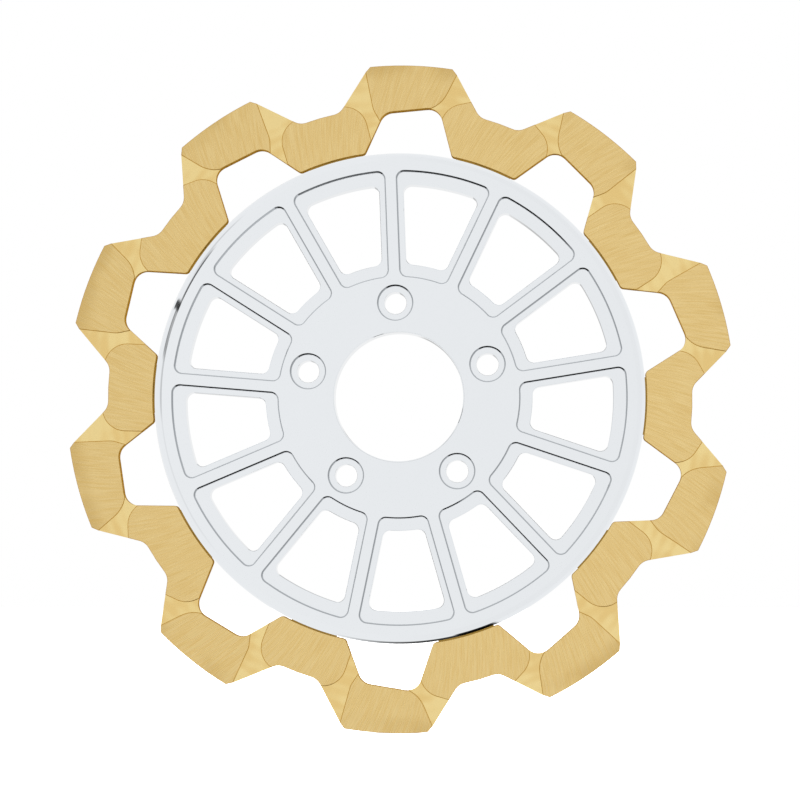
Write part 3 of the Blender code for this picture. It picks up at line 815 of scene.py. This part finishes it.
class Nodes:
    """A material's node tree with short ways to add and link nodes."""

    def __init__(self, tree):
        self.tree = tree

    def add(self, kind, settings=None, inputs=None):
        node = self.tree.nodes.new(kind)
        for name, value in (settings or {}).items():
            setattr(node, name, value)
        for name, value in (inputs or {}).items():
            if isinstance(value, bpy.types.NodeSocket):
                self.tree.links.new(value, node.inputs[name])
            else:
                node.inputs[name].default_value = value
        return node

    def math(self, operation, first, second=0.0):
        node = self.add("ShaderNodeMath", {"operation": operation}, {0: first, 1: second})
        return node.outputs[0]

    def ramp(self, value, low, high, start=0.0, end=1.0, smooth=True):
        kind = "SMOOTHSTEP" if smooth else "LINEAR"
        inputs = {0: value, 1: low, 2: high, 3: start, 4: end}
        return self.add("ShaderNodeMapRange", {"interpolation_type": kind}, inputs).outputs[0]

    def noise(self, vector, scale, detail=2.0, roughness=0.5):
        inputs = {"Vector": vector, "Scale": scale, "Detail": detail, "Roughness": roughness}
        return self.add("ShaderNodeTexNoise", None, inputs).outputs["Fac"]

    def mix(self, factor, first, second):
        node = self.add("ShaderNodeMix", {"data_type": "RGBA"}, {"Factor": factor})
        for socket, colour in zip([s for s in node.inputs if s.type == "RGBA"], (first, second)):
            if isinstance(colour, bpy.types.NodeSocket):
                self.tree.links.new(colour, socket)
            else:
                socket.default_value = (*colour, 1.0)
        return [s for s in node.outputs if s.type == "RGBA"][0]

    def bump(self, height, distance, strength):
        inputs = {"Height": height, "Distance": distance, "Strength": strength}
        return self.add("ShaderNodeBump", None, inputs).outputs["Normal"]

    def position(self):
        """The point on the object, in metres."""
        return self.add("ShaderNodeTexCoord").outputs["Object"]

    def radius_and_turn(self, position):
        """A point's distance from the disc's axis and its angle about it, in metres and radians."""
        split = self.add("ShaderNodeSeparateXYZ", None, {0: position})
        x, z = split.outputs["X"], split.outputs["Z"]
        squares = self.math("ADD", self.math("MULTIPLY", x, x), self.math("MULTIPLY", z, z))
        return self.math("SQRT", squares), self.math("ARCTAN2", z, x)

    def surface(self, colour, roughness, normal):
        """Links the shader's colour, roughness and normal."""
        shader = self.tree.nodes["Principled BSDF"]
        for name, value in (("Base Color", colour), ("Roughness", roughness), ("Normal", normal)):
            self.tree.links.new(value, shader.inputs[name])


def new_material(name, metallic):
    material = bpy.data.materials.new(name)
    material.use_nodes = True
    shader = material.node_tree.nodes["Principled BSDF"]
    shader.inputs["Metallic"].default_value = metallic
    return material, shader


def chrome_material():
    material, _ = new_material("mirror_chrome", 1.0)
    nodes = Nodes(material.node_tree)
    position = nodes.position()
    haze = nodes.noise(position, CHROME_HAZE_SCALE, detail=3.0, roughness=0.6)
    scuffs = nodes.noise(position, CHROME_SCUFF_SCALE, roughness=0.6)
    nodes.surface(
        nodes.mix(haze, *CHROME_TINTS),
        nodes.ramp(haze, *WIDE_SPREAD, *CHROME_ROUGHNESS),
        nodes.bump(scuffs, distance=0.00001, strength=0.05),
    )
    return material


def ground_gold_material():
    """Gold-toned steel ground across the ring: short fine strokes that swirl outwards from the axis."""
    material, _ = new_material("ground_gold", 1.0)
    nodes = Nodes(material.node_tree)
    position = nodes.position()
    radius, turn = nodes.radius_and_turn(position)
    sway = nodes.noise(position, STROKE_SWAY_SCALE, detail=1.0)
    around = nodes.math("ADD", turn, nodes.math("MULTIPLY", sway, STROKE_SWAY))
    around = nodes.math("ADD", around, nodes.math("MULTIPLY", radius, STROKE_SWIRL))
    strokes = []
    for density, along in STROKE_SCALES:
        stretched = nodes.math("MULTIPLY", around, density), nodes.math("MULTIPLY", radius, along)
        vector = nodes.add("ShaderNodeCombineXYZ", None, dict(enumerate(stretched))).outputs[0]
        strokes.append(nodes.noise(vector, 1.0, detail=1.0))
    stroke = nodes.math("MULTIPLY", nodes.math("ADD", *strokes), 0.5)
    # Painted shade: in patches near the outer edge the gold turns darker, where the ground face rounds off.
    patches = nodes.noise(position, PAINTED_EDGE_SHADE_PATCH_SCALE)
    in_patch = nodes.ramp(patches, *PAINTED_EDGE_SHADE_PATCH_SPREAD)
    painted_edge_shade = nodes.math("MULTIPLY", nodes.ramp(radius, *PAINTED_EDGE_SHADE_RADII), in_patch)
    ground = nodes.mix(nodes.ramp(stroke, *WIDE_SPREAD), *GROUND_GOLDS)
    nodes.surface(
        nodes.mix(nodes.math("MULTIPLY", painted_edge_shade, PAINTED_EDGE_SHADE_SHARE), ground, PAINTED_EDGE_SHADE_GOLD),
        nodes.ramp(stroke, *NARROW_SPREAD, *GROUND_ROUGHNESS),
        nodes.bump(stroke, distance=0.00001, strength=0.10),
    )
    return material


def milled_gold_material():
    """The recessed bridges: smoother, brighter, with the faint curved marks of the cutter."""
    material, _ = new_material("milled_gold", 1.0)
    nodes = Nodes(material.node_tree)
    position = nodes.position()
    clouds = nodes.noise(position, CLOUD_SCALE)
    rings = nodes.add(
        "ShaderNodeTexWave",
        {"wave_type": "RINGS", "rings_direction": "SPHERICAL"},
        {"Vector": position, "Scale": 60.0, "Distortion": 3.0, "Detail": 1.0, "Detail Scale": 1.0},
    ).outputs["Fac"]
    ring_part = nodes.math("MULTIPLY", rings, CUTTER_MARK_SHARE)
    cloud_part = nodes.math("MULTIPLY", clouds, 1 - CUTTER_MARK_SHARE)
    marks = nodes.math("ADD", ring_part, cloud_part)
    nodes.surface(
        nodes.mix(nodes.ramp(marks, *NARROW_SPREAD), *MILLED_GOLDS),
        nodes.ramp(marks, *WIDE_SPREAD, *MILLED_ROUGHNESS),
        nodes.bump(marks, distance=0.00002, strength=0.05),
    )
    return material


def cut_edge_material(name, dark, light, roughness):
    """The cut walls of the ring: streaks across the thickness, darker than the faces."""
    material, shader = new_material(name, 1.0)
    shader.inputs["Specular Tint"].default_value = (*light, 1.0)
    nodes = Nodes(material.node_tree)
    radius, turn = nodes.radius_and_turn(nodes.position())
    inputs = {0: nodes.math("MULTIPLY", turn, WALL_STREAK_DENSITY), 1: radius, 2: 0.0}
    vector = nodes.add("ShaderNodeCombineXYZ", None, inputs).outputs[0]
    streaks = nodes.noise(vector, 1.0, detail=3.0, roughness=0.6)
    nodes.surface(
        nodes.mix(nodes.ramp(streaks, *WIDE_SPREAD), dark, light),
        nodes.ramp(streaks, *WIDE_SPREAD, roughness, roughness + WALL_ROUGHNESS_RANGE),
        nodes.bump(streaks, distance=0.00003, strength=0.3),
    )
    return material


def steel_material(name, dark, light, metallic, roughness):
    """Plated or blackened fastener steel, faintly blotched."""
    material, _ = new_material(name, metallic)
    nodes = Nodes(material.node_tree)
    blotches = nodes.noise(nodes.position(), BLOTCH_SCALE, detail=3.0, roughness=0.6)
    nodes.surface(
        nodes.mix(nodes.ramp(blotches, *WIDE_SPREAD), dark, light),
        nodes.ramp(blotches, *WIDE_SPREAD, roughness, roughness + STEEL_ROUGHNESS_RANGE),
        nodes.bump(blotches, distance=0.00002, strength=0.2),
    )
    return material


def paint_ring(ring):
    """Gives each face of the flat ring its material, by the face's height, slope and direction."""
    ring.data.materials.append(ground_gold_material())
    ring.data.materials.append(milled_gold_material())
    for name, dark, light, roughness in CUT_EDGES:
        ring.data.materials.append(cut_edge_material(name, dark, light, roughness))
    land, bridge, edge, outer_wall, shaded_inner_wall, tab = range(len(ring.data.materials))
    bridge_heights = (RING_FRONT - LAND_STEP, RING_REAR + LAND_STEP)
    for face in ring.data.polygons:
        height = face.center.z / MM
        outward = face.normal.x * face.center.x + face.normal.y * face.center.y
        if abs(face.normal.z) > FLAT_NORMAL:
            face.material_index = land
            if min(abs(height - level) for level in bridge_heights) < RING_LIP / 2:
                face.material_index = bridge
            # The tab's top gets the tab material, darkened as the painted shadow of the groove.
            elif abs(height - RING_REAR - TAB_THICKNESS) < RING_LIP / 2:
                face.material_index = tab
        # The chamfers get the edge material, dark as a painted reflection.
        elif abs(face.normal.z) > STEEP_NORMAL:
            face.material_index = edge
        # Walls within the foot radius, which are the foot walls and the tab's sides, get the same painted
        # groove shadow.
        elif math.hypot(face.center.x, face.center.y) / MM < FOOT_RADIUS + 2 * RING_LIP:
            face.material_index = tab
        else:
            # Walls facing inwards get the darker inner copy as painted shade.
            face.material_index = outer_wall if outward > 0 else shaded_inner_wall


# Scene.


def product(nodes, *values):
    result = values[0]
    for value in values[1:]:
        result = nodes.math("MULTIPLY", result, value)
    return result


class Surroundings(Nodes):
    """What a mirror sees in each direction, by its roll about the disc's axis and its lean from it."""

    def __init__(self, tree):
        super().__init__(tree)
        direction = self.add("ShaderNodeTexCoord").outputs["Generated"]
        split = self.add("ShaderNodeSeparateXYZ", None, {0: direction})
        self.x, self.y, self.z = split.outputs["X"], split.outputs["Y"], split.outputs["Z"]
        rest = self.math("SUBTRACT", 1.0, self.math("MULTIPLY", self.y, self.y))
        self.lean = self.math("SQRT", self.math("MAXIMUM", rest, LEAST_LEAN_SQUARED))

    def sector(self, centre_deg, half_width_deg, soft_deg):
        """1 where the roll is near the centre, 0 outside."""
        centre_x, centre_z = polar(1, centre_deg)
        across = self.math("MULTIPLY", self.x, centre_x)
        along = self.math("ADD", across, self.math("MULTIPLY", self.z, centre_z))
        outer = math.cos(math.radians(half_width_deg + soft_deg))
        inner = math.cos(math.radians(half_width_deg - soft_deg))
        return self.ramp(self.math("DIVIDE", along, self.lean), outer, inner)

    def band(self, low_deg, high_deg, soft_deg):
        """1 where the lean from the axis is between two angles, 0 outside. Both are under 90."""
        low = [math.sin(math.radians(low_deg + side * soft_deg)) for side in (-1, 1)]
        high = [math.sin(math.radians(high_deg + side * soft_deg)) for side in (1, -1)]
        return product(self, self.ramp(self.lean, *low), self.ramp(self.lean, *high))

    def dimmed(self, level, where, factor):
        return self.math("MULTIPLY", level, self.ramp(where, 0.0, 1.0, 1.0, factor, False))


def front_light(tent):
    """The tent in front of the disc: white, with a grey collar round the camera that is black below."""
    low, high = COLLAR_FADE
    collar = tent.band(*COLLAR_BAND)
    light = tent.ramp(tent.x, *RIGHT_SIDE_FADE, 1.0, RIGHT_SIDE_SHARE, False)
    light = tent.dimmed(light, product(tent, collar, tent.ramp(tent.z, high, low)), COLLAR_LOW_SHARE)
    light = tent.dimmed(light, product(tent, collar, tent.ramp(tent.z, low, high)), COLLAR_HIGH_SHARE)
    black = product(tent, collar, tent.sector(*COLLAR_BLACK_SECTOR))
    light = tent.dimmed(light, black, COLLAR_BLACK_SHARE)
    for sector, band, share in FRONT_PATCHES:
        light = tent.dimmed(light, product(tent, tent.sector(*sector), tent.band(*band)), share)
    return light


def back_light(tent):
    """The tent behind the disc: white, dimmer straight behind and to the left, black at the bottom."""
    light = tent.ramp(tent.lean, *AXIS_FADE, AXIS_SHARE, 1.0)
    for sectors, near_fade, share in BACK_PATCHES:
        patch = product(tent, tent.ramp(tent.y, *near_fade), tent.ramp(tent.y, *FAR_FADE))
        for sector in sectors:
            patch = product(tent, patch, tent.sector(*sector))
        light = tent.dimmed(light, patch, share)
    left = product(tent, tent.sector(*LEFT_SECTOR), tent.ramp(tent.lean, *LEFT_FADE))
    return tent.dimmed(light, left, LEFT_SHARE)


def make_world():
    """A white light tent with dark patches. The camera itself sees plain white."""
    world = bpy.data.worlds.new("studio")
    bpy.context.scene.world = world
    world.use_nodes = True
    tent = Surroundings(world.node_tree)
    behind = tent.ramp(tent.y, *BEHIND_FADE)
    front = tent.math("MULTIPLY", front_light(tent), tent.math("SUBTRACT", 1.0, behind))
    level = tent.math("ADD", front, tent.math("MULTIPLY", back_light(tent), behind))
    post = product(tent, tent.sector(*POST_SECTOR), *[tent.ramp(tent.y, *fade) for fade in POST_FADES])
    level = tent.dimmed(level, post, POST_SHARE)
    camera_ray = tent.add("ShaderNodeLightPath").outputs["Is Camera Ray"]
    level = tent.math("MULTIPLY", level, tent.math("SUBTRACT", 1.0, camera_ray))
    level = tent.math("ADD", level, camera_ray)
    background = world.node_tree.nodes["Background"]
    background.inputs["Color"].default_value = (1.0, 1.0, 1.0, 1.0)
    world.node_tree.links.new(level, background.inputs["Strength"])


def make_floor():
    shape = bmesh.new()
    bmesh.ops.create_grid(shape, x_segments=1, y_segments=1, size=FLOOR_HALF_WIDTH)
    floor = new_object("floor", shape)
    floor.location.z = -DISC_RADIUS * MM
    floor.visible_glossy = False
    material, shader = new_material("pale_floor", 0.0)
    shader.inputs["Base Color"].default_value = FLOOR_COLOUR
    shader.inputs["Roughness"].default_value = FLOOR_ROUGHNESS
    shader.inputs["Emission Color"].default_value = (1.0, 1.0, 1.0, 1.0)
    shader.inputs["Emission Strength"].default_value = FLOOR_GLOW
    floor.data.materials.append(material)


def make_lights():
    for name, location, size, power in LIGHTS:
        data = bpy.data.lights.new(name, "AREA")
        data.shape = "DISK"
        data.size = size
        data.energy = power
        light = bpy.data.objects.new(name, data)
        light.location = location
        light.rotation_euler = (-Vector(location)).to_track_quat("-Z", "Y").to_euler()
        light.visible_glossy = False
        bpy.context.scene.collection.objects.link(light)


def make_camera():
    azimuth = math.radians(CAMERA_AZIMUTH_DEG)
    elevation = math.radians(CAMERA_ELEVATION_DEG)
    level = math.cos(elevation)
    back = Vector((math.sin(azimuth) * level, -math.cos(azimuth) * level, math.sin(elevation)))
    data = bpy.data.cameras.new("camera")
    data.lens = CAMERA_LENS_MM
    camera = bpy.data.objects.new("camera", data)
    camera.location = back * CAMERA_DISTANCE
    to_aim = Vector(CAMERA_AIM) - camera.location
    camera.rotation_euler = to_aim.to_track_quat("-Z", "Y").to_euler()
    bpy.context.scene.collection.objects.link(camera)
    bpy.context.scene.camera = camera
    bpy.context.scene.view_settings.view_transform = "Standard"


def main():
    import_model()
    make_camera()
    make_world()
    make_lights()
    make_floor()
    carrier = make_carrier()
    carrier.data.materials.append(chrome_material())
    place(carrier, "carrier_body", "carrier")
    ring = make_ring()
    paint_ring(ring)
    ring.visible_glossy = False
    place(ring, "ring_body", "friction_ring")
    make_fasteners(steel_material(*ZINC_PLATE), steel_material(*BLACK_OXIDE))


main()
